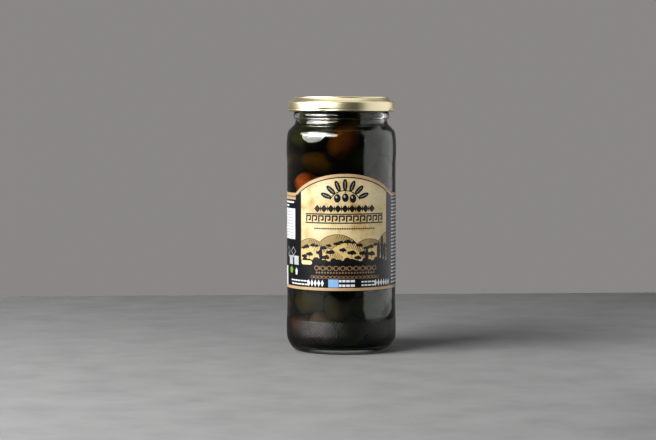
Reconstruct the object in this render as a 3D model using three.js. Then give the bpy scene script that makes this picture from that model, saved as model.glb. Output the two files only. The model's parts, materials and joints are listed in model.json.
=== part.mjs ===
// A jar of olives in brine: a tall round glass jar with a short neck, a gold
// twist-off lid, a paper label wrapped round the body with an arched front, and
// the brine that fills the jar up to the foot of the neck.
// Millimetres, +Z up, the origin at the middle of the base, the label facing -Y.
import * as THREE from "three";

// Driving dimensions
const SEGMENTS = 48; // facets round every turned piece
const CLEARANCE = 0.3; // between the brine and the glass
const BODY_DIAMETER = 72;
const TOTAL_HEIGHT = 166.5; // base to the top of the lid
const LID_DIAMETER = 69.7;
const LID_HEIGHT = 9.8;
const WALL = 2.6; // glass, at the label
const BRINE_LEVEL = 147;
const LABEL_BOTTOM = 41.6;
const LABEL_SIDE_TOP = 104.3;
const LABEL_ARCH_TOP = 117.3;
const LABEL_THICKNESS = 0.2;

// Glass jar, outside
const BODY_RADIUS = BODY_DIAMETER / 2;
const PANEL_RADIUS = BODY_RADIUS - 0.4; // the label sits in a shallow recess
const HEEL_RADIUS = BODY_RADIUS - 0.15;
const HEEL_INSET = 7.2; // how far the heel curves in
const HEEL_RISE = 12; // and how high
const FOOT_WIDTH = 2.2; // the flat ring that the jar stands on
const PUSH_UP = 2.4; // height of the hollow under the base
const HOLLOW_EDGE = 1.2; // its height just inside the foot
const HOLLOW_SLOPE = 2; // width of the slope from there to the foot
const HEEL_BAND_TOP = 24;
const PANEL_EASE = 9; // height of the gentle slopes at the ends of the recess
const SHOULDER_FOOT = 131;
const SHOULDER_ARC = 7;
const SHOULDER_CENTRE = 140.6; // height of the shoulder arc's centre
const NECK_FILLET = 1.5;
const NECK_RADIUS = 30;
const BEAD_RADIUS = 31.5;
const BEAD_BOTTOM = 151;
const BEAD_TOP = 156.8;
const BEAD_EDGE = 1.1; // height of the rounded edges of the bead
const FINISH_RADIUS = 31; // the plain ring of glass inside the lid
const RIM_TOP = 162.6;
const RIM_ROUND = 1.2;

// Glass jar, inside
const BORE_RADIUS = 28.2;
const INSIDE_RADIUS = PANEL_RADIUS - WALL;
const FLOOR_EDGE = 4; // height of the floor at its edge
const FLOOR_CROWN = 1.2; // how much higher it is in the middle
const INNER_HEEL_INSET = 6.6;
const INNER_HEEL_RISE = 10;
const INNER_SHOULDER_ARC = 4.6;
const INNER_SHOULDER_CENTRE = 140.6;
const INNER_FLARE = 2.6; // rounding where the bore opens into the body

// Lid
const LID_RADIUS = LID_DIAMETER / 2;
const LID_BOTTOM = TOTAL_HEIGHT - LID_HEIGHT;
const SHEET = 0.5; // lacquered steel
const CURL = 1.7; // height and width of the rolled bottom edge
const LID_SHOULDER = 1.9; // radius of the rounded top corner
const LID_STEP = 2.7; // height of the raised panel above the shoulder
const PANEL_FOOT_RADIUS = 32.2;
const PANEL_TOP_RADIUS = 29.6;
const PANEL_RIM = 2.2; // width of the ring round the sunk middle
const PANEL_SINK = 0.8;
const PANEL_SLOPE = 1; // width of the slopes round the sunk middle and the button
const BUTTON_RADIUS = 11;
const BUTTON_SINK = 0.5;
const LUGS = 4;
const FIRST_LUG = THREE.MathUtils.degToRad(-23); // from the front of the label
const LUG_HALF_WIDTH = THREE.MathUtils.degToRad(13);
const LUG_DEPTH = 0.9;
const LUG_HEIGHT = 2.6;

// Label
const LABEL_CLEARANCE = 0.12; // between the paper and the glass
const LABEL_GAP_COLUMNS = 2; // facets left bare at the back
const ARCH_COLUMNS = 8; // facets on each side of the arch's crown

const finishes = {
  glass: new THREE.MeshStandardMaterial({
    color: 0xdfe8e2,
    roughness: 0.04,
    metalness: 0,
    transparent: true,
    opacity: 0.35,
  }),
  brine: new THREE.MeshStandardMaterial({ color: 0x2a2008, roughness: 0.05, metalness: 0 }),
  lid: new THREE.MeshStandardMaterial({ color: 0xcdbf8c, roughness: 0.3, metalness: 1 }),
  label: new THREE.MeshStandardMaterial({ color: 0x1c1b20, roughness: 0.55, metalness: 0 }),
};

// Points on an arc of an ellipse about (r, z), from one angle to another in
// degrees: 0 points away from the axis and 90 points up.
function arc(r, z, across, up, from, to, steps) {
  const points = [];
  for (let i = 0; i <= steps; i++) {
    const angle = THREE.MathUtils.degToRad(from + ((to - from) * i) / steps);
    points.push([r + across * Math.cos(angle), z + up * Math.sin(angle)]);
  }
  return points;
}

// A solid of revolution about Z. Its profile is a list of [radius, height].
function turned(profile) {
  const points = profile.map(([r, z]) => new THREE.Vector2(Math.max(r, 0), z));
  return new THREE.LatheGeometry(points, SEGMENTS).rotateX(Math.PI / 2);
}

// Where the shoulder's arc runs into the fillet at the foot of the neck.
const shoulderCentreRadius = BODY_RADIUS - SHOULDER_ARC;
const filletCentreRadius = NECK_RADIUS + NECK_FILLET;
const filletRise = Math.sqrt(
  (SHOULDER_ARC + NECK_FILLET) ** 2 - (filletCentreRadius - shoulderCentreRadius) ** 2,
);
const filletCentreHeight = SHOULDER_CENTRE + filletRise;
const shoulderEnd = THREE.MathUtils.radToDeg(
  Math.atan2(filletRise, filletCentreRadius - shoulderCentreRadius),
);

function glassOutside() {
  const footRadius = HEEL_RADIUS - HEEL_INSET;
  const hollowRadius = footRadius - FOOT_WIDTH;
  return [
    [0, PUSH_UP],
    [hollowRadius - HOLLOW_SLOPE, HOLLOW_EDGE],
    [hollowRadius, 0],
    ...arc(footRadius, HEEL_RISE, HEEL_INSET, HEEL_RISE, -90, 0, 8),
    [HEEL_RADIUS, HEEL_BAND_TOP],
    [PANEL_RADIUS, HEEL_BAND_TOP + PANEL_EASE],
    [PANEL_RADIUS, SHOULDER_FOOT - PANEL_EASE],
    [BODY_RADIUS, SHOULDER_FOOT],
    ...arc(shoulderCentreRadius, SHOULDER_CENTRE, SHOULDER_ARC, SHOULDER_ARC, 0, shoulderEnd, 7),
    ...arc(
      filletCentreRadius,
      filletCentreHeight,
      NECK_FILLET,
      NECK_FILLET,
      180 + shoulderEnd,
      180,
      3,
    ).slice(1),
    [NECK_RADIUS, BEAD_BOTTOM],
    [BEAD_RADIUS, BEAD_BOTTOM + BEAD_EDGE],
    [BEAD_RADIUS, BEAD_TOP - BEAD_EDGE],
    [FINISH_RADIUS, BEAD_TOP],
    ...arc(FINISH_RADIUS - RIM_ROUND, RIM_TOP - RIM_ROUND, RIM_ROUND, RIM_ROUND, 0, 90, 3),
  ];
}

// The cavity, from the rim down to the middle of the floor, shrunk by `gap`.
function cavity(gap) {
  const bore = BORE_RADIUS - gap;
  const wall = INSIDE_RADIUS - gap;
  const flareCentre = bore + INNER_FLARE;
  const arcCentre = wall - INNER_SHOULDER_ARC;
  const flareRise = Math.sqrt(
    (INNER_SHOULDER_ARC + INNER_FLARE) ** 2 - (flareCentre - arcCentre) ** 2,
  );
  const meeting = THREE.MathUtils.radToDeg(Math.atan2(flareRise, flareCentre - arcCentre));
  const flareHeight = INNER_SHOULDER_CENTRE + flareRise;
  return [
    [bore, RIM_TOP - RIM_ROUND],
    ...arc(flareCentre, flareHeight, INNER_FLARE, INNER_FLARE, 180, 180 + meeting, 3),
    ...arc(
      arcCentre,
      INNER_SHOULDER_CENTRE,
      INNER_SHOULDER_ARC,
      INNER_SHOULDER_ARC,
      meeting,
      0,
      4,
    ).slice(1),
    ...arc(
      wall - INNER_HEEL_INSET,
      FLOOR_EDGE + gap + INNER_HEEL_RISE,
      INNER_HEEL_INSET,
      INNER_HEEL_RISE,
      0,
      -90,
      5,
    ),
    [0, FLOOR_EDGE + FLOOR_CROWN + gap],
  ];
}

function glassJar() {
  const lip = arc(BORE_RADIUS + RIM_ROUND, RIM_TOP - RIM_ROUND, RIM_ROUND, RIM_ROUND, 90, 180, 3);
  return turned([...glassOutside(), ...lip, ...cavity(0).slice(1)]);
}

// The brine: the cavity cut off level at the surface of the liquid.
function brine() {
  const wall = cavity(CLEARANCE);
  const below = wall.findIndex(([, z]) => z < BRINE_LEVEL);
  const [upperRadius, upperHeight] = wall[below - 1];
  const [lowerRadius, lowerHeight] = wall[below];
  const share = (BRINE_LEVEL - lowerHeight) / (upperHeight - lowerHeight);
  const edgeRadius = lowerRadius + share * (upperRadius - lowerRadius);
  return turned([[0, BRINE_LEVEL], [edgeRadius, BRINE_LEVEL], ...wall.slice(below)].reverse());
}

// The lid's section: one sheet of steel with a rolled bottom edge, a raised
// panel and a sunk middle with a round button, then four lugs pressed inwards.
function lid() {
  const stepHeight = TOTAL_HEIGHT - LID_STEP;
  const sunk = TOTAL_HEIGHT - PANEL_SINK;
  const rimInside = PANEL_TOP_RADIUS - PANEL_RIM;
  const top = [
    [LID_RADIUS, LID_BOTTOM + CURL],
    ...arc(
      LID_RADIUS - LID_SHOULDER,
      stepHeight - LID_SHOULDER,
      LID_SHOULDER,
      LID_SHOULDER,
      0,
      80,
      4,
    ),
    [PANEL_FOOT_RADIUS, stepHeight],
    [PANEL_TOP_RADIUS, TOTAL_HEIGHT],
    [rimInside, TOTAL_HEIGHT],
    [rimInside - PANEL_SLOPE, sunk],
    [BUTTON_RADIUS + PANEL_SLOPE, sunk],
    [BUTTON_RADIUS, sunk - BUTTON_SINK],
    [0, sunk - BUTTON_SINK],
  ];
  const underside = [
    [0, sunk - BUTTON_SINK - SHEET],
    [BUTTON_RADIUS, sunk - BUTTON_SINK - SHEET],
    [BUTTON_RADIUS + PANEL_SLOPE, sunk - SHEET],
    [rimInside - PANEL_SLOPE, sunk - SHEET],
    [rimInside, TOTAL_HEIGHT - SHEET],
    [PANEL_TOP_RADIUS - SHEET / 2, TOTAL_HEIGHT - SHEET],
    [PANEL_FOOT_RADIUS - SHEET / 2, stepHeight - SHEET],
    [LID_RADIUS - LID_SHOULDER, stepHeight - SHEET],
    [LID_RADIUS - SHEET, stepHeight - LID_SHOULDER],
    [LID_RADIUS - SHEET, LID_BOTTOM + CURL],
  ];
  const curl = arc(
    LID_RADIUS - CURL / 2,
    LID_BOTTOM + CURL / 2,
    CURL / 2,
    CURL / 2,
    150,
    360,
    6,
  );
  const geometry = turned([...underside, ...curl, ...top]);
  const position = geometry.getAttribute("position");
  for (let i = 0; i < position.count; i++) {
    const [x, y, z] = [position.getX(i), position.getY(i), position.getZ(i)];
    const pressed = LUG_DEPTH * lugShare(Math.atan2(x, -y), z);
    const radius = Math.hypot(x, y);
    if (radius > PANEL_FOOT_RADIUS) {
      position.setXY(i, (x * (radius - pressed)) / radius, (y * (radius - pressed)) / radius);
    }
  }
  return geometry;
}

// How far a lug is pressed in, from 0 to 1, at an angle from the front and a height.
function lugShare(angle, z) {
  const pitch = (2 * Math.PI) / LUGS;
  const turns = (angle - FIRST_LUG) / pitch;
  const offset = Math.abs(turns - Math.round(turns)) * pitch;
  const round = Math.max(0, 1 - (offset / LUG_HALF_WIDTH) ** 2);
  return round * THREE.MathUtils.clamp(1 - (z - LID_BOTTOM - CURL) / LUG_HEIGHT, 0, 1);
}

// The label: a sheet that follows the jar's facets, with its top edge lifted
// into an arc at the front and a strip of bare glass at the back.
function label() {
  const pitch = (2 * Math.PI) / SEGMENTS;
  const reach = (SEGMENTS - LABEL_GAP_COLUMNS) / 2;
  const inner = PANEL_RADIUS + LABEL_CLEARANCE;
  const outer = inner + LABEL_THICKNESS;
  const archHalf = ARCH_COLUMNS * pitch * outer;
  const archRise = LABEL_ARCH_TOP - LABEL_SIDE_TOP;
  const archRadius = (archHalf ** 2 + archRise ** 2) / (2 * archRise);
  const topAt = (along) => {
    if (Math.abs(along) >= archHalf) return LABEL_SIDE_TOP;
    return LABEL_ARCH_TOP - archRadius + Math.sqrt(archRadius ** 2 - along ** 2);
  };
  const vertices = [];
  for (let column = -reach; column <= reach; column++) {
    const angle = column * pitch;
    const top = topAt(angle * outer);
    const section = [
      [inner, LABEL_BOTTOM],
      [outer, LABEL_BOTTOM],
      [outer, top],
      [inner, top],
    ];
    for (const [r, z] of section) vertices.push(r * Math.sin(angle), -r * Math.cos(angle), z);
  }
  const columns = 2 * reach + 1;
  const faces = [0, 1, 2, 0, 2, 3];
  for (let column = 0; column < columns - 1; column++) {
    for (let side = 0; side < 4; side++) {
      const here = 4 * column + side;
      const beside = 4 * column + ((side + 1) % 4);
      faces.push(here, beside + 4, beside, here, here + 4, beside + 4);
    }
  }
  const last = 4 * (columns - 1);
  faces.push(last, last + 2, last + 1, last, last + 3, last + 2);
  const geometry = new THREE.BufferGeometry();
  geometry.setAttribute("position", new THREE.Float32BufferAttribute(vertices, 3));
  return geometry.setIndex(faces);
}

const jarOfOlives = new THREE.Group();
function addPiece(name, geometry, finish) {
  const mesh = new THREE.Mesh(geometry, finish);
  mesh.name = name;
  jarOfOlives.add(mesh);
}
addPiece("glass_jar", glassJar(), finishes.glass);
addPiece("brine", brine(), finishes.brine);
addPiece("lid", lid(), finishes.lid);
addPiece("label", label(), finishes.label);

export default jarOfOlives;
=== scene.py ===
# A jar of dark olives in brine: clear glass, a gold twist-off lid and a wrapped paper label,
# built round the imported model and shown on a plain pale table.
import json
import math

import bpy
import numpy as np
from mathutils import Euler, Matrix, Vector, noise

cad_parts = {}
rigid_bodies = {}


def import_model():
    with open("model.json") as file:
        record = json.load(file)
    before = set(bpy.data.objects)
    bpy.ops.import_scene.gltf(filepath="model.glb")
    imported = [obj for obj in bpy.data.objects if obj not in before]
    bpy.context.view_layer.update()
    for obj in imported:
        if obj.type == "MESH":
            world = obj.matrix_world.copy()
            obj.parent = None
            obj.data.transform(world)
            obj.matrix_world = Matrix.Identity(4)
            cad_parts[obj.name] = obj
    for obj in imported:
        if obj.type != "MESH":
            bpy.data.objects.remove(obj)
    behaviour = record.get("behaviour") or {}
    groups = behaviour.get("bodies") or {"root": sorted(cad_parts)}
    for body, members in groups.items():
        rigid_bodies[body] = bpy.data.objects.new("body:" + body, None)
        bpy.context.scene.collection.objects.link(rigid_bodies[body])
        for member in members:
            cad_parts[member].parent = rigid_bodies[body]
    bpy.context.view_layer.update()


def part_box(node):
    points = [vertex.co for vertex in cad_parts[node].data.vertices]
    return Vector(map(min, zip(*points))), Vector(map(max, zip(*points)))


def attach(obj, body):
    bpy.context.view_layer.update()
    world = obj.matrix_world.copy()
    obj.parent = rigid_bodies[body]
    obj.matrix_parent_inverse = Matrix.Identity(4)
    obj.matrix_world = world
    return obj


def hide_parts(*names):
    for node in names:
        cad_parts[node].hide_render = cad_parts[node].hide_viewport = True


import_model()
mm = 0.001

# The jar is pressed and blown from clear glass, about 2.6 mm thick at the side. It has a hollow under
# the base, rows of raised dots on the heel, a shallow recess for the label, a round shoulder, a short
# neck and a bead under the lid. One profile is turned into its outside and inside.
glass_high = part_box("glass_jar")[1]
body_radius = glass_high[0]
rim_top = glass_high[2]
panel_radius = body_radius - 0.4 * mm
heel_radius = body_radius - 0.25 * mm
heel_inset = 7.2 * mm
heel_rise = 12 * mm
foot_radius = heel_radius - heel_inset
foot_width = 2.2 * mm
hollow_radius = foot_radius - foot_width
hollow_slope = 2 * mm
hollow_edge = 1.2 * mm
push_up = 2.4 * mm
stipple_foot = 6.3 * mm
stipple_pitch = 1.51 * mm
stipple_rows = 10
stipple_columns = 176
dot_margin = 0.12 * mm
dot_slope = 0.2 * mm
dot_rise = 0.15 * mm
dot_crown = 0.06 * mm
heel_band_top = 24 * mm
panel_ease = 9 * mm
shoulder_foot = 131 * mm
shoulder_bend = 142.7 * mm
shoulder_drop = 0.785 * mm
shoulder_power = 2.6
shoulder_arc = 4.2 * mm
shoulder_slope = 45
neck_fillet = 1.2 * mm
neck_sweep = 10 * mm
sweep_end = 18
neck_radius = 30 * mm
bead_bottom = 151.8 * mm
bead_middle = 153.2 * mm
bead_top = 156.8 * mm
bead_depth = 1.45 * mm
finish_radius = 31 * mm
rim_round = 1.2 * mm
bore_radius = 28.2 * mm
inside_radius = panel_radius - 2.6 * mm
inner_shoulder_arc = 4.6 * mm
inner_shoulder_height = 140.6 * mm
inner_flare = 2.6 * mm
inner_heel_inset = 6.6 * mm
inner_heel_rise = 10 * mm
floor_edge = 4 * mm
floor_crown = 1.2 * mm


def arc(centre, across, up, start, end, steps):
    """Points (radius, height) along an ellipse's arc. 0 degrees points away from the axis, 90 up."""
    angles = np.radians(np.linspace(start, end, steps + 1))
    return [(centre[0] + across * math.cos(a), centre[1] + up * math.sin(a)) for a in angles]


def ease(start, end, steps):
    """Points on a soft step between two points of a profile."""
    shares = np.linspace(0, 1, steps + 1)
    (r0, z0), (r1, z1) = start, end
    return [(r0 + (r1 - r0) * (1 - math.cos(math.pi * t)) / 2, z0 + (z1 - z0) * t) for t in shares]


def dome(edge_radius, edge_height, middle_height, steps):
    """Points from the axis out to an edge, along a shallow dome."""
    shares = np.linspace(0, 1, steps + 1)
    return [(edge_radius * t, middle_height + (edge_height - middle_height) * t * t) for t in shares]


def heel_at(height):
    """A point of the jar's heel at a height."""
    drop = max(0, (heel_rise - height) / heel_rise)
    return (foot_radius + heel_inset * math.sqrt(1 - drop * drop), height)


def cavity(grow, steps):
    """The inside of the glass from the rim down to the middle of the floor, grown into the wall."""
    bore = bore_radius + grow
    wall = inside_radius + grow
    flare_out = bore + inner_flare
    bend = wall - inner_shoulder_arc
    flare_up = math.sqrt((inner_shoulder_arc + inner_flare) ** 2 - (flare_out - bend) ** 2)
    meeting = math.degrees(math.atan2(flare_up, flare_out - bend))
    flare = (flare_out, inner_shoulder_height + flare_up)
    heel = (wall - inner_heel_inset, floor_edge - grow + inner_heel_rise)
    walls = arc(flare, inner_flare, inner_flare, 180, 180 + meeting, steps)
    shoulder = (bend, inner_shoulder_height)
    walls += arc(shoulder, inner_shoulder_arc, inner_shoulder_arc, meeting, 0, steps)[1:]
    walls += [(wall, z) for z in np.linspace(inner_shoulder_height, heel[1], 12)[1:-1]]
    walls += arc(heel, inner_heel_inset, inner_heel_rise, 0, -90, 2 * steps)
    floor = dome(heel[0], floor_edge - grow, floor_edge + floor_crown - grow, steps)
    return walls + floor[-2::-1]


def glass_profile():
    """The jar's whole section, from the middle of the hollow up the outside and down the inside."""
    foot_end = math.degrees(math.asin(stipple_foot / heel_rise - 1))
    points = dome(hollow_radius - hollow_slope, hollow_edge, push_up, 6)
    points += ease(points[-1], (hollow_radius, 0), 4)[1:]
    points += arc((foot_radius, heel_rise), heel_inset, heel_rise, -90, foot_end, 10)
    points += [heel_at(stipple_foot + stipple_pitch * i) for i in range(1, stipple_rows + 1)]
    points += ease((heel_radius, heel_band_top), (panel_radius, heel_band_top + panel_ease), 8)
    recess_top = shoulder_foot - panel_ease
    points += [(panel_radius, z) for z in np.linspace(points[-1][1], recess_top, 10)[1:-1]]
    points += ease((panel_radius, recess_top), (body_radius, shoulder_foot), 8)
    for share in np.linspace(0, 1, 13)[1:]:
        height = shoulder_foot + (shoulder_bend - shoulder_foot) * share
        points.append((body_radius - shoulder_drop * share**shoulder_power, height))
    lean = math.atan(shoulder_drop * shoulder_power / (shoulder_bend - shoulder_foot))
    radius, height = points[-1]
    bend = (radius - shoulder_arc * math.cos(lean), height - shoulder_arc * math.sin(lean))
    points += arc(bend, shoulder_arc, shoulder_arc, math.degrees(lean), shoulder_slope, 10)[1:]
    sweep = (neck_radius + neck_sweep, bead_bottom)
    fillet = arc(sweep, neck_sweep - neck_fillet, neck_sweep - neck_fillet, 180 + sweep_end, 180, 1)[0]
    points += arc(fillet, neck_fillet, neck_fillet, 180 + shoulder_slope, 180 + sweep_end, 5)
    points += arc(sweep, neck_sweep, neck_sweep, 180 + sweep_end, 180, 8)[1:]
    points += arc((neck_radius, bead_middle), bead_depth, bead_middle - bead_bottom, -72, 0, 8)
    points += arc((neck_radius, bead_middle), bead_depth, bead_top - bead_middle, 0, 68, 8)[1:]
    points += [(finish_radius, bead_top)]
    points += arc((finish_radius - rim_round, rim_top - rim_round), rim_round, rim_round, 0, 90, 5)
    points += arc((bore_radius + rim_round, rim_top - rim_round), rim_round, rim_round, 90, 180, 5)
    return points + cavity(0, 8)


def turn(name, profile, columns):
    """A turned piece: one vertex is drawn along the profile, and the line is spun round the axis."""
    bpy.ops.object.select_all(action="DESELECT")
    bpy.ops.mesh.primitive_plane_add(size=mm)
    piece = bpy.context.object
    piece.name = name
    bpy.ops.object.mode_set(mode="EDIT")
    bpy.ops.mesh.select_mode(type="VERT")
    bpy.ops.mesh.select_all(action="SELECT")
    bpy.ops.mesh.merge(type="CENTER")
    bpy.ops.transform.translate(value=(profile[0][0], 0, profile[0][1]))
    for (r0, z0), (r1, z1) in zip(profile, profile[1:]):
        bpy.ops.mesh.extrude_region_move(TRANSFORM_OT_translate={"value": (r1 - r0, 0, z1 - z0)})
    bpy.ops.mesh.select_all(action="SELECT")
    bpy.ops.mesh.spin(steps=columns, angle=2 * math.pi, center=(0, 0, 0), axis=(0, 0, 1))
    bpy.ops.mesh.select_all(action="SELECT")
    bpy.ops.mesh.remove_doubles(threshold=0.002 * mm)
    bpy.ops.mesh.delete_loose(use_verts=True, use_edges=True, use_faces=False)
    bpy.ops.mesh.select_all(action="SELECT")
    bpy.ops.mesh.normals_make_consistent(inside=False)
    bpy.ops.object.mode_set(mode="OBJECT")
    bpy.ops.object.shade_smooth()
    return piece


def select_faces(piece, chosen):
    """Goes into edit mode with only the faces selected for which chosen(face) is true."""
    bpy.ops.object.mode_set(mode="EDIT")
    bpy.ops.mesh.select_mode(type="FACE")
    bpy.ops.mesh.select_all(action="DESELECT")
    bpy.ops.object.mode_set(mode="OBJECT")
    for face in piece.data.polygons:
        face.select = chosen(face)
    bpy.ops.object.mode_set(mode="EDIT")


def new_material(name):
    """A material with its Principled shader, for the nodes that a finish needs."""
    material = bpy.data.materials.new(name)
    material.use_nodes = True
    shader = material.node_tree.nodes["Principled BSDF"]
    return material, shader, material.node_tree.nodes, material.node_tree.links


def is_stipple(face):
    """True on every other outer face of the stippled rows, like the squares of a chessboard."""
    x, y, z = face.center
    row = (z - stipple_foot) / stipple_pitch
    if not 0 < row < stipple_rows or face.normal.x * x + face.normal.y * y < 0:
        return False
    column = math.floor((math.atan2(y, x) % (2 * math.pi)) / (2 * math.pi) * stipple_columns)
    return (math.floor(row) + column) % 2 == 0


def glass_material(name, clearness, roughness, index):
    """Faintly green glass with a slow ripple, for the polished wall and for the stippled dots."""
    material, shader, nodes, links = new_material(name)
    shader.inputs["Base Color"].default_value = (0.98 * clearness, clearness, 0.985 * clearness, 1)
    shader.inputs["Roughness"].default_value = roughness
    shader.inputs["IOR"].default_value = index
    shader.inputs["Transmission Weight"].default_value = 1.0
    ripple = nodes.new("ShaderNodeTexNoise")
    ripple.inputs["Scale"].default_value = 55
    ripple.inputs["Detail"].default_value = 1
    place = nodes.new("ShaderNodeTexCoord")
    links.new(place.outputs["Object"], ripple.inputs["Vector"])
    swell = nodes.new("ShaderNodeBump")
    swell.inputs["Strength"].default_value = 0.06
    swell.inputs["Distance"].default_value = 1.0 * mm
    links.new(ripple.outputs["Fac"], swell.inputs["Height"])
    links.new(swell.outputs["Normal"], shader.inputs["Normal"])
    tint = nodes.new("ShaderNodeVolumeAbsorption")
    tint.inputs["Color"].default_value = (0.84, 0.93, 0.84, 1)
    tint.inputs["Density"].default_value = 14
    links.new(tint.outputs["Volume"], nodes["Material Output"].inputs["Volume"])
    return material


jar = turn("glass_jar_clear", glass_profile(), stipple_columns)
jar.data.materials.append(glass_material("clear_glass", clearness=1.0, roughness=0.0, index=1.4))
jar.data.materials.append(glass_material("stippled_glass", clearness=0.3, roughness=0.26, index=2.2))
select_faces(jar, is_stipple)
bpy.ops.mesh.inset(thickness=dot_margin, depth=0.0, use_individual=True)
jar.active_material_index = 1
bpy.ops.object.material_slot_assign()
bpy.ops.mesh.inset(thickness=dot_slope, depth=dot_rise, use_individual=True)
bpy.ops.mesh.inset(thickness=dot_slope, depth=dot_crown, use_individual=True)
bpy.ops.object.mode_set(mode="OBJECT")
bpy.ops.object.shade_smooth()
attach(jar, "root")
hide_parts("glass_jar")

# The brine is a clear liquid stained green-brown by the olives. It fills the jar up to the foot of the
# neck, climbs a little at the glass, and reaches just into the wall, so that no gap shows.
brine_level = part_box("brine")[1][2]
brine_reach = 0.12 * mm
meniscus_rise = 1.3 * mm
meniscus_width = 1.7 * mm
brine_columns = 144
inside = cavity(brine_reach, 8)
walls = [point for point in inside if point[1] < brine_level]
above = inside[-len(walls) - 1]
share = (brine_level - walls[0][1]) / (above[1] - walls[0][1])
edge = walls[0][0] + share * (above[0] - walls[0][0])
walls = [(bore_radius + brine_reach, brine_level + meniscus_rise), (edge, brine_level)] + walls
surface = []
for out in (0, 0.4, 0.7, 0.82, 0.88, 0.92, 0.95, 0.97, 0.985):
    climb = meniscus_rise * math.exp(-edge * (1 - out) / meniscus_width)
    surface.append((edge * out, brine_level + climb))
brine = turn("brine_fill", surface + walls, brine_columns)

brine_liquid, brine_shader, nodes, links = new_material("brine_liquid")
brine_shader.inputs["Base Color"].default_value = (1, 1, 1, 1)
brine_shader.inputs["Roughness"].default_value = 0.0
brine_shader.inputs["IOR"].default_value = 1.31
brine_shader.inputs["Transmission Weight"].default_value = 1.0
stain = nodes.new("ShaderNodeVolumeAbsorption")
stain.inputs["Color"].default_value = (0.46, 0.54, 0.0, 1)
stain.inputs["Density"].default_value = 180
links.new(stain.outputs["Volume"], nodes["Material Output"].inputs["Volume"])
brine.data.materials.append(brine_liquid)
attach(brine, "root")
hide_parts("brine")

# The olives are whole ripe fruit, from red-brown to black. They fill the jar, and the topmost stand out
# of the brine in the neck. One is pressed from a sphere and copied, each copy with its own size, bumps
# and tone, and all are pushed down and apart until they lie against each other and the glass.
olive_count = 96
olive_long = (21.0 * mm, 24.5 * mm)
olive_wide = (16.2 * mm, 18.4 * mm)
olive_clear = 0.9 * mm
olive_ceiling = 158 * mm
tip_share = 0.82
drop_radius = 22 * mm
drop_heights = (14 * mm, 225 * mm)
settle_steps = 700
fall_steps = 450
first_fall = 0.5 * mm
push_share = 0.3
wall_lookout = 0.6
floor_points = 9
red_spots = ((-18, -15, 113, 1.2), (0, -22, 136, 0.6), (-24, -8, 22, 1.0), (-7, -22, 20, 0.7))
red_reach = 12 * mm
usual_redness = 0.25
stem_end = 0.93
stem_press = 0.07
stem_ring = 0.06
stem_pit = 0.03
tip_taper = 0.12
tip_point = 0.05
bump_size = 0.05
bump_pitch = 1.3
chance = np.random.default_rng(7)
long_half = chance.uniform(*olive_long, olive_count) / 2
wide_half = chance.uniform(*olive_wide, olive_count) / 2
tip_radius = wide_half * tip_share
tip_reach = long_half - tip_radius


def settle():
    """The two tips of every olive, after the fruit has been dropped in and pushed apart."""
    turns = chance.uniform(0, 2 * math.pi, olive_count)
    out = np.sqrt(chance.uniform(0, 1, olive_count)) * drop_radius
    height = np.linspace(*drop_heights, olive_count)
    middle = np.stack([out * np.cos(turns), out * np.sin(turns), height], 1)
    lean = chance.normal(size=(olive_count, 3))
    lean /= np.linalg.norm(lean, axis=1)[:, None]
    tips = np.stack([middle - lean * tip_reach[:, None], middle + lean * tip_reach[:, None]], 1)
    radius = np.stack([tip_radius, wide_half, tip_radius], 1).ravel()
    lining = cavity(0, 8)[::-1][floor_points:]
    wall_heights = np.maximum.accumulate([z for _, z in lining])
    wall_radii = [r for r, _ in lining]
    owner = np.repeat(np.arange(olive_count), 3)
    apart = owner[:, None] != owner[None, :]
    reach = (radius[:, None] + radius[None, :]) * apart
    for step in range(settle_steps):
        if step < fall_steps:
            tips[:, :, 2] -= first_fall * (1 - step / fall_steps)
        balls = np.stack([tips[:, 0], tips.mean(1), tips[:, 1]], 1).reshape(-1, 3)
        gap = balls[:, None] - balls[None, :]
        far = np.linalg.norm(gap, axis=2) + 1e-9
        push = np.clip(reach - far, 0, None) * apart / far
        balls = balls + (gap * push[:, :, None]).sum(1) * push_share
        upper = np.interp(balls[:, 2] + radius * wall_lookout, wall_heights, wall_radii)
        lower = np.interp(balls[:, 2] - radius * wall_lookout, wall_heights, wall_radii)
        wall = np.minimum(upper, lower) - olive_clear
        out = np.hypot(balls[:, 0], balls[:, 1])
        squeeze = np.minimum(1, np.clip(wall - radius, 1 * mm, None) / np.maximum(out, 1e-9))
        balls[:, :2] *= squeeze[:, None]
        low = floor_edge + floor_crown + olive_clear + radius
        high = olive_ceiling - radius
        balls[:, 2] = np.clip(balls[:, 2], low, high if step > fall_steps else 1.0)
        balls = balls.reshape(olive_count, 3, 3)
        shift = balls[:, 1] - tips.mean(1)
        tips = np.stack([balls[:, 0] + shift, balls[:, 2] + shift], 1)
        tips[:, 0] -= shift * 0.5
        tips[:, 1] -= shift * 0.5
        middle = tips.mean(1)
        lean = tips[:, 1] - tips[:, 0]
        lean /= np.linalg.norm(lean, axis=1)[:, None]
        tips = np.stack([middle - lean * tip_reach[:, None], middle + lean * tip_reach[:, None]], 1)
    return tips


bpy.ops.object.select_all(action="DESELECT")
bpy.ops.mesh.primitive_uv_sphere_add(segments=28, ring_count=18, radius=1)
pattern_olive = bpy.context.object
select_faces(pattern_olive, lambda face: face.center.z > stem_end)
bpy.ops.transform.translate(value=(0, 0, -stem_press))
bpy.ops.mesh.inset(thickness=stem_ring, depth=-stem_pit)
bpy.ops.object.mode_set(mode="OBJECT")
for vertex in pattern_olive.data.vertices:
    tip = max(0, -vertex.co.z)
    vertex.co.xy *= 1 - tip_taper * tip**2
    vertex.co.z -= tip_point * tip**6

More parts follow.
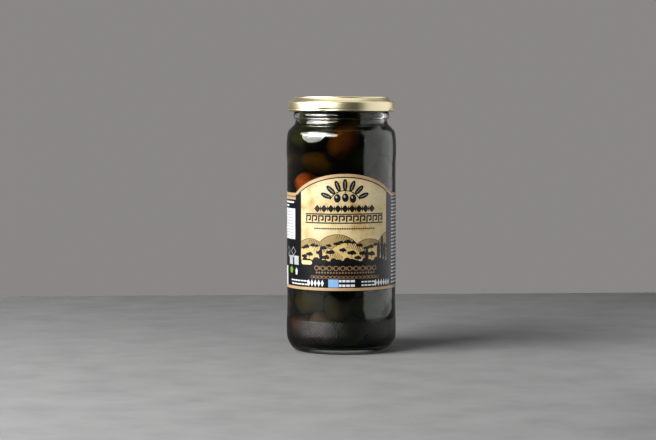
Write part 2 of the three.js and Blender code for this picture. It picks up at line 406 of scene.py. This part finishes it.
olives = []
for number, (low_tip, high_tip) in enumerate(settle()):
    olive = pattern_olive.copy()
    olive.data = pattern_olive.data.copy()
    bpy.context.collection.objects.link(olive)
    bumps = Vector(chance.uniform(-50, 50, 3))
    for vertex in olive.data.vertices:
        vertex.co *= 1 + bump_size * noise.noise(vertex.co * bump_pitch + bumps)
    tone = olive.data.attributes.new("tone", "FLOAT", "POINT")
    redness = usual_redness * chance.uniform()
    middle = (low_tip + high_tip) / 2
    for *spot, share in red_spots:
        far = np.linalg.norm(middle - np.array(spot) * mm)
        redness = max(redness, share * math.exp(-((far / red_reach) ** 2)))
    tone.data.foreach_set("value", np.full(len(olive.data.vertices), redness, np.float32))
    along = Vector(high_tip - low_tip)
    roll = Matrix.Rotation(chance.uniform(0, 2 * math.pi), 4, "Z")
    size = Matrix.Diagonal((wide_half[number], wide_half[number], long_half[number], 1))
    lean = along.to_track_quat("Z", "Y").to_matrix().to_4x4()
    olive.data.transform(Matrix.Translation(Vector(middle)) @ lean @ size @ roll)
    olives.append(olive)
bpy.data.objects.remove(pattern_olive)
bpy.ops.object.select_all(action="DESELECT")
for olive in olives:
    olive.select_set(True)
bpy.context.view_layer.objects.active = olives[0]
bpy.ops.object.join()
olives = bpy.context.object
olives.name = "olives_whole"
bpy.ops.object.shade_smooth()

olive_skin, skin_shader, nodes, links = new_material("olive_skin")
tone = nodes.new("ShaderNodeAttribute")
tone.attribute_name = "tone"
place = nodes.new("ShaderNodeTexCoord")
blotch = nodes.new("ShaderNodeTexNoise")
blotch.inputs["Scale"].default_value = 160
blotch.inputs["Detail"].default_value = 4
links.new(place.outputs["Object"], blotch.inputs["Vector"])
mottle = nodes.new("ShaderNodeMapRange")
mottle.inputs["To Max"].default_value = 0.25
links.new(blotch.outputs["Fac"], mottle.inputs["Value"])
ripe = nodes.new("ShaderNodeMath")
ripe.operation = "MULTIPLY_ADD"
ripe.inputs[1].default_value = 0.75
links.new(tone.outputs["Fac"], ripe.inputs[0])
links.new(mottle.outputs["Result"], ripe.inputs[2])
skin = nodes.new("ShaderNodeValToRGB")
skin.color_ramp.elements[0].position = 0.15
skin.color_ramp.elements[0].color = (0.026, 0.030, 0.004, 1)
skin.color_ramp.elements[1].position = 0.9
skin.color_ramp.elements[1].color = (0.27, 0.06, 0.008, 1)
brown = skin.color_ramp.elements.new(0.45)
brown.color = (0.055, 0.026, 0.003, 1)
links.new(ripe.outputs["Value"], skin.inputs["Fac"])
links.new(skin.outputs["Color"], skin_shader.inputs["Base Color"])
skin_shader.inputs["Roughness"].default_value = 0.35
skin_shader.inputs["Specular IOR Level"].default_value = 0.0
pits = nodes.new("ShaderNodeTexNoise")
pits.inputs["Scale"].default_value = 900
links.new(place.outputs["Object"], pits.inputs["Vector"])
pores = nodes.new("ShaderNodeBump")
pores.inputs["Strength"].default_value = 0.15
pores.inputs["Distance"].default_value = 0.2 * mm
links.new(pits.outputs["Fac"], pores.inputs["Height"])
links.new(pores.outputs["Normal"], skin_shader.inputs["Normal"])
olives.data.materials.append(olive_skin)
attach(olives, "root")

# The lid is one sheet of steel with gold lacquer, pressed into a skirt with a rolled edge, a raised
# panel and a sunk middle with a round button. Four lugs pressed in at its edge hold it to the neck.
lid_low, lid_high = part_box("lid")
lid_radius = lid_high[0]
lid_bottom = lid_low[2]
lid_top = lid_high[2]
sheet = 0.3 * mm
curl = 0.85 * mm
curl_groove = 0.2 * mm
lid_round = 1.9 * mm
skirt_draft = 0.25 * mm
lid_step = lid_top - 2.7 * mm
panel_foot = 32.2 * mm
panel_edge = 29.6 * mm
panel_round = 0.7 * mm
panel_rim = 2.2 * mm
panel_sunk = lid_top - 0.8 * mm
panel_slope = 1.2 * mm
button_radius = 11 * mm
button_sunk = panel_sunk - 0.5 * mm
lug_count = 4
first_lug = math.radians(-23)
lug_half = math.radians(12.5)
lug_depth = 0.8 * mm
lug_height = 2.8 * mm
lid_columns = 192


def shifted(points, distance):
    """A line of profile points moved sideways, to the left of its own direction."""
    moved = []
    for i, (r, z) in enumerate(points):
        (r0, z0), (r1, z1) = points[max(i - 1, 0)], points[min(i + 1, len(points) - 1)]
        length = math.hypot(r1 - r0, z1 - z0)
        moved.append((max(0, r - (z1 - z0) / length * distance), z + (r1 - r0) / length * distance))
    moved[-1] = (0, moved[-1][1])
    return moved


def lid_profile():
    """The sheet's outside from the rolled edge to the middle, and back along its inside."""
    roll = (lid_radius - curl, lid_bottom + curl)
    skirt_foot = lid_bottom + 2 * curl
    corner = (lid_radius - skirt_draft - lid_round, lid_step - lid_round)
    rim_inside = panel_edge - panel_rim
    edge = arc(roll, curl, curl, -90, 40, 8) + [(lid_radius - curl_groove, skirt_foot)]
    skirt = (lid_radius - 0.75 * curl_groove, skirt_foot + 2 * curl_groove)
    top = ease(skirt, (lid_radius - skirt_draft, corner[1]), 4)
    top += arc(corner, lid_round, lid_round, 0, 86, 8)[1:]
    top += ease((panel_foot, lid_step), (panel_edge + panel_round, lid_top - panel_round), 5)
    top += arc((panel_edge, lid_top - panel_round), panel_round, panel_round, 20, 90, 5)
    top += ease((rim_inside, lid_top), (rim_inside - panel_slope, panel_sunk), 6)
    top += ease((button_radius + panel_slope, panel_sunk), (button_radius, button_sunk), 6)
    top += [(button_radius / 2, button_sunk), (0, button_sunk)]
    return edge + top + shifted(top, sheet)[::-1] + arc(roll, curl, curl, 110, 270, 8)


lid = turn("lid_gold", lid_profile(), lid_columns)
for vertex in lid.data.vertices:
    x, y, z = vertex.co
    angle = math.atan2(x, -y)
    for number in range(lug_count):
        off = (angle - first_lug - number * 2 * math.pi / lug_count + math.pi) % (2 * math.pi) - math.pi
        side = math.cos(min(1, abs(off) / lug_half) * math.pi / 2) ** 2
        low = math.cos(min(1, max(0, z - lid_bottom) / lug_height) * math.pi / 2) ** 2
        vertex.co.xy *= 1 - lug_depth / lid_radius * side * low

gold, gold_shader, nodes, links = new_material("gold_lacquer")
gold_shader.inputs["Base Color"].default_value = (0.56, 0.51, 0.36, 1)
gold_shader.inputs["Metallic"].default_value = 1.0
place = nodes.new("ShaderNodeTexCoord")
grain = nodes.new("ShaderNodeTexNoise")
grain.inputs["Scale"].default_value = 900
grain.inputs["Detail"].default_value = 2
links.new(place.outputs["Object"], grain.inputs["Vector"])
satin = nodes.new("ShaderNodeMapRange")
satin.inputs["To Min"].default_value = 0.32
satin.inputs["To Max"].default_value = 0.42
links.new(grain.outputs["Fac"], satin.inputs["Value"])
links.new(satin.outputs["Result"], gold_shader.inputs["Roughness"])
lid.data.materials.append(gold)
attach(lid, "root")
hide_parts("lid")

# The label is one strip of coated paper, printed black all over and glued round the recess, with an
# arched top in front and a bare gap at the back. It is drawn flat, as millimetres round the jar and
# height, and then rolled on.
label_low, label_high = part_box("label")
label_bottom = label_low[2] / mm
side_top = 104.3
arch_top = label_high[2] / mm
arch_half = 37.4
arch_radius = (arch_half**2 + (arch_top - side_top) ** 2) / (2 * (arch_top - side_top))
arch_centre = arch_top - arch_radius
arch_sides = 256
label_half_angle = 172.5
roll_radius = body_radius / mm
paper_radius = 35.62 * mm
paper_thickness = 0.1 * mm
film_step = 0.018 * mm
strip_step = math.radians(2) * roll_radius


def open_drawing(name):
    """An empty flat piece, open in edit mode."""
    bpy.ops.object.select_all(action="DESELECT")
    bpy.ops.mesh.primitive_plane_add(size=mm)
    piece = bpy.context.object
    piece.name = name
    bpy.ops.object.mode_set(mode="EDIT")
    bpy.ops.mesh.select_mode(type="VERT")
    bpy.ops.mesh.select_all(action="SELECT")
    bpy.ops.mesh.delete(type="VERT")
    return piece


def draw_box(x, y, width, height, lean=0):
    """A filled rectangle about a middle point."""
    bpy.ops.mesh.select_all(action="DESELECT")
    bpy.ops.mesh.primitive_plane_add(size=mm, location=(x * mm, y * mm, 0))
    bpy.ops.transform.resize(value=(width, height, 1))
    if lean:
        bpy.ops.transform.rotate(value=-math.radians(lean), center_override=(x * mm, y * mm, 0))


def draw_disc(x, y, across, up, sides=16, lean=0):
    """A filled ellipse about a middle point, with its two half-widths."""
    bpy.ops.mesh.select_all(action="DESELECT")
    bpy.ops.mesh.primitive_circle_add(
        vertices=sides, radius=mm, fill_type="NGON", location=(x * mm, y * mm, 0)
    )
    bpy.ops.transform.resize(value=(across, up, 1))
    if lean:
        bpy.ops.transform.rotate(value=-math.radians(lean), center_override=(x * mm, y * mm, 0))


def draw_ring(x, y, outer, inner, sides=24):
    """A flat ring about a middle point."""
    centre = (x * mm, y * mm, 0)
    bpy.ops.mesh.select_all(action="DESELECT")
    bpy.ops.mesh.primitive_circle_add(vertices=sides, radius=outer * mm, location=centre)
    bpy.ops.mesh.extrude_edges_move()
    bpy.ops.transform.resize(value=(inner / outer, inner / outer, 1), center_override=centre)
    bpy.ops.mesh.select_linked()


def copy_on(count, across, up=0):
    """Copies what was drawn last, again and again, each one further on."""
    for _ in range(count - 1):
        bpy.ops.mesh.duplicate_move(TRANSFORM_OT_translate={"value": (across * mm, up * mm, 0)})


def trim(x, y, away):
    """Cuts all that is drawn along a line through a point, and clears the side that away points to."""
    bpy.ops.mesh.select_all(action="SELECT")
    bpy.ops.mesh.bisect(
        plane_co=(x * mm, y * mm, 0), plane_no=(away[0], away[1], 0), clear_outer=True
    )


def roll_on(piece, layer):
    """Cuts a flat drawing into narrow strips and rolls it round the jar, on a layer of its own."""
    bpy.ops.object.mode_set(mode="OBJECT")
    points = [v.co.x / mm for v in piece.data.vertices]
    bpy.ops.object.mode_set(mode="EDIT")
    for number in range(math.ceil(min(points) / strip_step), math.floor(max(points) / strip_step) + 1):
        bpy.ops.mesh.select_all(action="SELECT")
        bpy.ops.mesh.bisect(plane_co=(number * strip_step * mm, 0, 0), plane_no=(1, 0, 0))
    bpy.ops.object.mode_set(mode="OBJECT")
    select_faces(piece, lambda face: face.normal.z < 0)
    bpy.ops.mesh.flip_normals()
    bpy.ops.object.mode_set(mode="OBJECT")
    radius = paper_radius + paper_thickness + layer * film_step
    for vertex in piece.data.vertices:
        angle = vertex.co.x / mm / roll_radius
        vertex.co = (radius * math.sin(angle), -radius * math.cos(angle), vertex.co.y)


def coated_paper():
    """A node group: a print colour with faint cloudiness, and the gloss of coated paper."""
    group = bpy.data.node_groups.new("coated_paper", "ShaderNodeTree")
    group.interface.new_socket("Color", in_out="INPUT", socket_type="NodeSocketColor")
    group.interface.new_socket("Color", in_out="OUTPUT", socket_type="NodeSocketColor")
    group.interface.new_socket("Roughness", in_out="OUTPUT", socket_type="NodeSocketFloat")
    begin = group.nodes.new("NodeGroupInput")
    end = group.nodes.new("NodeGroupOutput")
    place = group.nodes.new("ShaderNodeTexCoord")
    cloud = group.nodes.new("ShaderNodeTexNoise")
    cloud.inputs["Scale"].default_value = 420
    cloud.inputs["Detail"].default_value = 3
    tone = group.nodes.new("ShaderNodeMapRange")
    tone.inputs["To Min"].default_value = 0.9
    tone.inputs["To Max"].default_value = 1.08
    mix = group.nodes.new("ShaderNodeVectorMath")
    mix.operation = "SCALE"
    gloss = group.nodes.new("ShaderNodeMapRange")
    gloss.inputs["To Min"].default_value = 0.27
    gloss.inputs["To Max"].default_value = 0.37
    group.links.new(place.outputs["Object"], cloud.inputs["Vector"])
    group.links.new(cloud.outputs["Fac"], tone.inputs["Value"])
    group.links.new(cloud.outputs["Fac"], gloss.inputs["Value"])
    group.links.new(begin.outputs["Color"], mix.inputs[0])
    group.links.new(tone.outputs["Result"], mix.inputs["Scale"])
    group.links.new(mix.outputs["Vector"], end.inputs["Color"])
    group.links.new(gloss.outputs["Result"], end.inputs["Roughness"])
    return group


paper_finish = coated_paper()


def print_material(name, red, green, blue):
    """A print colour on coated paper, from its three display values out of 255."""
    material, shader, nodes, links = new_material(name)
    finish = nodes.new("ShaderNodeGroup")
    finish.node_tree = paper_finish
    linear = [((v / 255 + 0.055) / 1.055) ** 2.4 for v in (red, green, blue)]
    finish.inputs["Color"].default_value = (*linear, 1)
    links.new(finish.outputs["Color"], shader.inputs["Base Color"])
    links.new(finish.outputs["Roughness"], shader.inputs["Roughness"])
    return material


def finish_print(piece, layer, material):
    """Rolls a drawing on, gives it its colour and fixes it to the jar."""
    roll_on(piece, layer)
    piece.data.materials.append(material)
    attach(piece, "root")


label = open_drawing("label_strip")
draw_disc(0, arch_centre, arch_radius, arch_radius, arch_sides)
trim(0, side_top, (0, -1))
label_width = math.radians(2 * label_half_angle) * roll_radius
draw_box(0, (label_bottom + side_top) / 2, label_width, side_top - label_bottom)
roll_on(label, 0)
bpy.ops.object.mode_set(mode="EDIT")
bpy.ops.mesh.select_all(action="SELECT")
bpy.ops.mesh.remove_doubles(threshold=0.001 * mm)
bpy.ops.object.mode_set(mode="OBJECT")
bpy.ops.object.modifier_add(type="SOLIDIFY")
label.modifiers["Solidify"].thickness = paper_thickness
label.modifiers["Solidify"].offset = -1
bpy.ops.object.modifier_apply(modifier="Solidify")
label.data.materials.append(print_material("label_black", 24, 25, 31))
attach(label, "root")
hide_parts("label")

# The gold print is a border along the arch, a stripe along the top of both sides, a second one below it
# at the left, and a line along the whole bottom edge. It lies on the black as a thin film of ink.
border = 2.0
border_margin = 0.15
top_stripe = 2.1
stripe = 1.9
stripe_drop = 1.2
second_drop = 3.6
foot_line_rise = 1.25
border_edge = arch_radius - border_margin
side_length = label_width / 2 - arch_half
side_middle = arch_half + side_length / 2
label_gold = open_drawing("label_gold")
draw_ring(0, arch_centre, border_edge, border_edge - border, arch_sides)
trim(0, side_top - stripe_drop, (0, -1))
for side in (-1, 1):
    draw_box(side * side_middle, side_top - stripe_drop, side_length, top_stripe)
draw_box(-side_middle, side_top - second_drop, side_length, stripe)
draw_box(0, label_bottom + foot_line_rise, label_width, stripe)
finish_print(label_gold, 1, print_material("print_gold", 205, 178, 140))

# The parchment is the arched cream panel in front, printed with cloudy amber stains like old paper. It
# keeps a narrow black line free inside the gold border.
panel_half = 31.7
panel_bottom = 60.0
panel_gap = 0.8
parchment_radius = arch_radius - border - panel_gap


def trim_to_panel(bottom):
    """Cuts off all that is drawn past the parchment's sides and below a height."""
    trim(0, bottom, (0, -1))
    trim(panel_half, 0, (1, 0))
    trim(-panel_half, 0, (-1, 0))


parchment = open_drawing("label_parchment")
draw_disc(0, arch_centre, parchment_radius, parchment_radius, arch_sides)
trim_to_panel(panel_bottom)
parchment_print, shader, nodes, links = new_material("print_parchment")
place = nodes.new("ShaderNodeTexCoord")
stains = nodes.new("ShaderNodeTexNoise")
stains.inputs["Scale"].default_value = 75
stains.inputs["Detail"].default_value = 5
stains.inputs["Roughness"].default_value = 0.6
links.new(place.outputs["Object"], stains.inputs["Vector"])
amber = nodes.new("ShaderNodeValToRGB")
amber.color_ramp.elements[0].position = 0.38
amber.color_ramp.elements[0].color = (0.82, 0.71, 0.47, 1)
amber.color_ramp.elements[1].position = 0.66
amber.color_ramp.elements[1].color = (0.60, 0.39, 0.15, 1)
pale = amber.color_ramp.elements.new(0.52)
pale.color = (0.76, 0.62, 0.35, 1)
links.new(stains.outputs["Fac"], amber.inputs["Fac"])
finish = nodes.new("ShaderNodeGroup")
finish.node_tree = paper_finish
links.new(amber.outputs["Color"], finish.inputs["Color"])
links.new(finish.outputs["Color"], shader.inputs["Base Color"])
links.new(finish.outputs["Roughness"], shader.inputs["Roughness"])
finish_print(parchment, 1, parchment_print)

# A landscape fills the lower part of the parchment, like an old engraving: far ridges and nearer
# slopes in flat tints, each with a thin dark outline, cut off at the foot and sides of the parchment.
far_hills = ((-24, 14, 15), (-5, 17, 18), (17, 15, 15), (33, 12, 19))
near_hills = ((-20, 19, 10.5), (2, 14, 13), (24, 13, 11))
outline = 0.35


def draw_hills(name, layer, hills, grow, material):
    """Flat hills in one colour, cut to the parchment's edges."""
    piece = open_drawing(name)
    for x, across, up in hills:
        draw_disc(x, panel_bottom, across + grow, up + grow, 48)
    trim_to_panel(panel_bottom)
    finish_print(piece, layer, material)


line_print = print_material("print_line", 92, 74, 52)
draw_hills("label_ridge_lines", 2, far_hills, outline, line_print)
draw_hills("label_ridges", 3, far_hills, 0, print_material("print_sepia", 182, 160, 116))
draw_hills("label_slope_lines", 4, near_hills, outline, line_print)
draw_hills("label_slopes", 5, near_hills, 0, print_material("print_straw", 222, 198, 142))

# The dark print on the parchment is a sprig with leaves and fruit at the top, a chain of lozenges,
# a meander band and a dotted line below it, and the trees, shrubs and hatching of the landscape.
stem_centre = 95.4
stem_radius = 11
stem_half = 0.25
stem_cut = 100.6
leaf_reach = 3.6
leaf_fan = 1.25
leaf_half = (1.6, 3.9)
fruit = ((-5.0, 101.4), (0.2, 101.8), (5.2, 101.3))
fruit_half = (2.1, 2.7)
motif_pitch = 4.6
lozenge_height = 94.7
meander_left = -27
meander_edges = (91.2, 85.5)
meander_hook = (
    (0.45, 88.3, 0.9, 4.2), (2.2, 90.0, 2.6, 0.9), (3.4, 88.8, 0.9, 3.0), (2.7, 87.5, 1.6, 0.9),
)
hatch_width = 0.24
hatch_lean = -24
tree_flatness = 0.8
tree_crown = ((0, 0, 0.8), (0.9, -0.1, 0.55), (-0.85, 0, 0.6), (0.4, 0.3, 0.6))
trees = (
    (-29.2, 69.2, 1.3), (-26.6, 70.1, 1.6), (-21.6, 71.0, 1.5), (-19.2, 70.7, 1.2), (-14.2, 69.4, 1.7),
    (-10.6, 71.0, 1.3), (-5.4, 72.2, 1.5), (-2.6, 73.2, 1.3), (1.6, 73.6, 1.7), (5.2, 73.0, 1.3),
    (9.6, 71.2, 1.6), (14.4, 69.4, 1.4), (17.8, 70.2, 1.6), (21.4, 71.4, 1.3), (30.2, 70.2, 1.5),
    (-24.4, 65.2, 1.9), (-17.2, 66.4, 1.6), (-9.4, 66.8, 2.0), (-1.4, 68.2, 1.7), (4.4, 66.4, 2.1),
    (11.8, 66.0, 1.8), (18.2, 65.6, 2.0), (-28.6, 63.8, 1.7), (-12.8, 63.4, 1.9), (8.4, 63.2, 1.7),
)
cypresses = ((27.2, 60, 17.5), (24.0, 60, 13.5), (29.9, 60, 12.5), (-16.0, 61, 8.5), (14.8, 60, 9))
shrub_count = 22
shrub_pitch = 2.95
shrub_left = -31
ink_bottom = 59.4
label_ink = open_drawing("label_ink")
draw_ring(0, stem_centre, stem_radius + stem_half, stem_radius - stem_half, 64)
trim(0, stem_cut, (0, -1))
leaves = []
for turn_at in (35, 53, 72, 90, 108, 127, 145):
    root = math.radians(turn_at)
    point_to = math.radians(90 + (turn_at - 90) * leaf_fan)
    x = stem_radius * math.cos(root) + leaf_reach * math.cos(point_to)
    y = stem_centre + stem_radius * math.sin(root) + leaf_reach * math.sin(point_to)
    leaves.append((x, y, math.degrees(point_to) - 90))
for x, y, lean in leaves:
    draw_disc(x, y, *leaf_half, 10, lean)
for x, y in fruit:
    draw_disc(x, y, *fruit_half, 20)
    draw_box(x, y + 3.4, 0.35, 1.8)
draw_disc(-18.4, lozenge_height, 2.3, 2.5, 4)
copy_on(9, motif_pitch)
draw_box(-16.1, lozenge_height, 0.6, 3.2)
copy_on(8, motif_pitch)
for y in meander_edges:
    draw_box(0.2, y, 2 * abs(meander_left) + 1.4, 0.7)
for x, y, width, height in meander_hook:
    draw_box(meander_left + x, y, width, height)
    copy_on(12, motif_pitch)
draw_disc(-20, 81.9, 0.55, 0.55, 8)
copy_on(27, 1.54)
for hills, length in ((far_hills, 2.4), (near_hills, 3.6)):
    for x, across, up in hills:
        for turn_at in np.radians(np.arange(14, 92, 5.5)):
            end = x + (across - 0.6) * math.cos(turn_at)
            rise = (up - length * 0.6) * math.sin(turn_at)
            draw_box(end, panel_bottom + rise, hatch_width, length, hatch_lean)
for x, y, size in trees:
    for aside, lift, share in tree_crown:
        draw_disc(x + aside * size, y + lift * size, share * size, share * size * tree_flatness, 9, x * 37)
    draw_box(x, y - size * 0.9, size * 0.14, size * 0.9)
for x, foot, height in cypresses:
    draw_disc(x, foot + height / 2, 0.9 + height * 0.035, height / 2, 14)
for number in range(shrub_count):
    across = 2.0 + (number * 7 % 5) * 0.35
    up = 1.0 + (number * 5 % 7) * 0.42
    draw_disc(shrub_left + number * shrub_pitch, panel_bottom, across, up, 13)
trim_to_panel(ink_bottom)
finish_print(label_ink, 6, print_material("print_ink", 38, 34, 34))

# The pale grey print is thin ribs and glints on the sprig, faint rules in the white box at the left and
# small signs under it. It lies over the other inks.
label_grey = open_drawing("label_grey")
for x, y, lean in leaves:
    draw_box(x, y, 0.32, 4.6, lean)
for x, y in fruit:
    draw_disc(x - 0.6, y + 0.8, 0.6, 0.95, 10, 20)
draw_box(-57.5, 91.6, 35, 0.55)
copy_on(9, 0, -1.9)
for x, y in ((-48, 66.2), (-40.2, 66.2)):
    draw_ring(x, y, 3.2, 2.5, 4)
    draw_box(x, y - 3.4, 1.6, 0.7)
draw_box(-43.6, 60.5, 5.6, 5.8)
draw_box(-36.6, 60.5, 5.2, 5.8)
finish_print(label_grey, 7, print_material("print_grey", 196, 198, 200))

# The white print on the black is a ruled box and a smaller one at the left, short bars in lines at the
# right and along the foot, and heavier marks beside them. The bars stand for lines of small text.
row_count = 25
row_top = 100.7
row_pitch = 2.28
row_left = 38.4
row_bars = 9
row_gap = 0.8
bar_height = 1.05
foot_gap = 0.4
foot_lines = (
    (47.6, -43, 7, 1.0), (45.4, -42, 6, 1.0), (48.2, -3.9, 4, 1.6), (45.3, -3.9, 4, 1.6),
    (47.6, 10.9, 4, 1.0), (45.4, 10.9, 4, 1.0),
)
label_white = open_drawing("label_white")
draw_box(-57.5, 84, 39, 20)
draw_box(-73, 49.8, 46, 12.6)
draw_box(-56.5, 98.0, 34, 1.2)
draw_box(-60.5, 95.7, 26, 1.2)
for row in range(row_count):
    start = row_left
    for number in range(row_bars):
        length = 2.6 + (row * 5 + number * 7) % 6 * 0.62
        draw_box(start + length / 2, row_top - row * row_pitch, length, bar_height)
        start += length + row_gap
for y, start, count, height in foot_lines:
    for number in range(count):
        length = 1.7 + (number * 5 + count) % 4 * 0.4
        draw_box(start + length / 2, y, length, height)
        start += length + foot_gap
for start, count in ((-25.0, 5), (21.6, 6)):
    draw_disc(start, 46.6, 1.15, 2.4, 4)
    copy_on(count, 2.5)
draw_disc(-36.5, 53.4, 1.4, 2.6, 5)
finish_print(label_white, 2, print_material("print_white", 236, 238, 240))

# The bronze print is three lines of ornament on the black below the parchment: rings with lozenges, a
# row of small squares, and a chain of links. A cream tab stands beside them, over the parchment's corner.
ring_pitch = 4.4
link_pitch = 2.85
ring_height = 56.4
link_height = 50.6
tab_height = 59.7
tab_half = 1.4
label_bronze = open_drawing("label_bronze")
draw_ring(-19, ring_height, 1.75, 1.05, 12)
copy_on(10, ring_pitch)
draw_disc(-16.8, ring_height, 0.75, 1.5, 4)
copy_on(9, ring_pitch)
draw_box(-19, 53.5, 1.25, 1.25, 45)
copy_on(21, 1.95)
draw_ring(-22.4, link_height, 1.2, 0.7, 6)
copy_on(17, link_pitch)
draw_box(-21, link_height, 0.6, 1.7)
copy_on(16, link_pitch)
finish_print(label_bronze, 1, print_material("print_bronze", 150, 124, 94))
label_tab = open_drawing("label_tab")
draw_box(-26.8, tab_height, 6.2, 2 * tab_half)
for x in (-29.9, -23.7):
    draw_disc(x, tab_height, tab_half, tab_half, 16)
finish_print(label_tab, 7, print_material("print_cream", 236, 218, 170))

# Two small marks in colour are printed on the black: a plain blue field near the foot and a green disc
# at the left. Each is a thin film of its own.
label_blue = open_drawing("label_blue")
draw_box(-7.6, 46.7, 6.8, 5.2)
finish_print(label_blue, 1, print_material("print_blue", 150, 190, 226))
label_green = open_drawing("label_green")
draw_disc(-43, 54, 2.3, 2.3, 24)
finish_print(label_green, 2, print_material("print_green", 130, 178, 60))

# The table is a plain pale slab. It is left out of mirror reflections, because the photo's glass shows
# hardly any of it.
table_size = (1.6, 0.74)
table_shift = -0.01
bpy.ops.object.select_all(action="DESELECT")
bpy.ops.mesh.primitive_plane_add(size=1, location=(0, 0, 0))
floor = bpy.context.object
floor.name = "stage_floor"
bpy.ops.object.mode_set(mode="EDIT")
bpy.ops.transform.resize(value=(*table_size, 1))
bpy.ops.transform.translate(value=(0, table_shift, 0))
bpy.ops.object.mode_set(mode="OBJECT")
table, table_shader, nodes, links = new_material("pale_table")
place = nodes.new("ShaderNodeTexCoord")
speckle = nodes.new("ShaderNodeTexNoise")
speckle.inputs["Scale"].default_value = 30
speckle.inputs["Detail"].default_value = 8
links.new(place.outputs["Object"], speckle.inputs["Vector"])
greys = nodes.new("ShaderNodeValToRGB")
greys.color_ramp.elements[0].position = 0.3
greys.color_ramp.elements[0].color = (0.30, 0.30, 0.30, 1)
greys.color_ramp.elements[1].position = 0.7
greys.color_ramp.elements[1].color = (0.36, 0.36, 0.36, 1)
links.new(speckle.outputs["Fac"], greys.inputs["Fac"])
links.new(greys.outputs["Color"], table_shader.inputs["Base Color"])
table_shader.inputs["Roughness"].default_value = 0.7
floor.data.materials.append(table)
floor.visible_glossy = False

# The light is a plain soft studio: a large lamp at the left front with a weaker one at the right, two
# oval panes that give the gleam on the shoulder, and pale boards at the right and overhead. A grey
# backdrop stands behind the jar, and the rest of the room is dark.


def soft_lamp(name, place, aim, width, height, watts):
    """A rectangular soft lamp at a place, turned towards a point."""
    lamp = bpy.data.lights.new(name, "AREA")
    lamp.shape = "RECTANGLE"
    lamp.size = width
    lamp.size_y = height
    lamp.energy = watts
    holder = bpy.data.objects.new(name, lamp)
    bpy.context.collection.objects.link(holder)
    holder.location = place
    holder.rotation_euler = (Vector(aim) - Vector(place)).to_track_quat("-Z", "Y").to_euler()
    return holder


soft_lamp("key_lamp", (-0.92, -0.53, 0.75), (0, 0, 0.08), 0.9, 0.9, 17)
side_board = soft_lamp("side_board", (0.235, 0.0325, 0.25), (0, 0.1, 0.25), 0.45, 0.5, 0.7)
side_board.visible_diffuse = False
fill_lamp = soft_lamp("fill_lamp", (0.7, -0.9, 0.4), (0, 0, 0.08), 0.8, 0.8, 2.6)
fill_lamp.visible_glossy = False
fill_lamp.visible_transmission = False
for lamp in (
    soft_lamp("gleam_box", (-0.883, -0.321, 0.47), (0, 0, 0.14), 1.2, 0.55, 17),
    soft_lamp("gleam_tail", (-0.687, -0.641, 0.46), (0, 0, 0.14), 1.3, 0.24, 8),
):
    lamp.data.shape = "ELLIPSE"
    lamp.visible_diffuse = False
ceiling_board = soft_lamp("ceiling_board", (0, 0.1, 1.1), (0, 0.1, 0), 0.9, 0.9, 3)
ceiling_board.visible_diffuse = False
ceiling_board.visible_transmission = False

world = bpy.data.worlds.new("studio")
world.use_nodes = True
bpy.context.scene.world = world
nodes = world.node_tree.nodes
links = world.node_tree.links
path = nodes.new("ShaderNodeLightPath")
backdrop = nodes.new("ShaderNodeMix")
backdrop.data_type = "RGBA"
backdrop.inputs[6].default_value = (0.05, 0.05, 0.05, 1)
backdrop.inputs[7].default_value = (0.232, 0.223, 0.223, 1)
heading = nodes.new("ShaderNodeTexCoord")
split = nodes.new("ShaderNodeSeparateXYZ")
links.new(heading.outputs["Generated"], split.inputs["Vector"])
behind = nodes.new("ShaderNodeMath")
behind.operation = "GREATER_THAN"
behind.inputs[1].default_value = 0.0
links.new(split.outputs["Y"], behind.inputs[0])
through = nodes.new("ShaderNodeMath")
through.operation = "MULTIPLY"
sharp = nodes.new("ShaderNodeMath")
sharp.operation = "MULTIPLY_ADD"
sharp.inputs[1].default_value = 0.6
links.new(path.outputs["Is Glossy Ray"], sharp.inputs[0])
links.new(path.outputs["Is Transmission Ray"], sharp.inputs[2])
links.new(sharp.outputs["Value"], through.inputs[0])
links.new(behind.outputs["Value"], through.inputs[1])
seen = nodes.new("ShaderNodeMath")
seen.operation = "MAXIMUM"
links.new(path.outputs["Is Camera Ray"], seen.inputs[0])
links.new(through.outputs["Value"], seen.inputs[1])
links.new(seen.outputs["Value"], backdrop.inputs[0])
links.new(backdrop.outputs[2], nodes["Background"].inputs["Color"])

# The camera stands a little left of the front, at the height of the lid, and looks slightly down, with
# a long lens as in the photo.
look_down = 3.565
look_right = 3.445
view = bpy.data.cameras.new("photo_camera")
view.lens = 108.6
view.sensor_width = 36
camera = bpy.data.objects.new("photo_camera", view)
bpy.context.collection.objects.link(camera)
camera.location = (-0.08686, -1.29696, 0.1663)
camera.rotation_euler = Euler((math.radians(90 - look_down), 0, math.radians(-look_right)))
bpy.context.scene.camera = camera
bpy.context.scene.view_settings.view_transform = "Standard"
bpy.context.scene.view_settings.look = "High Contrast"
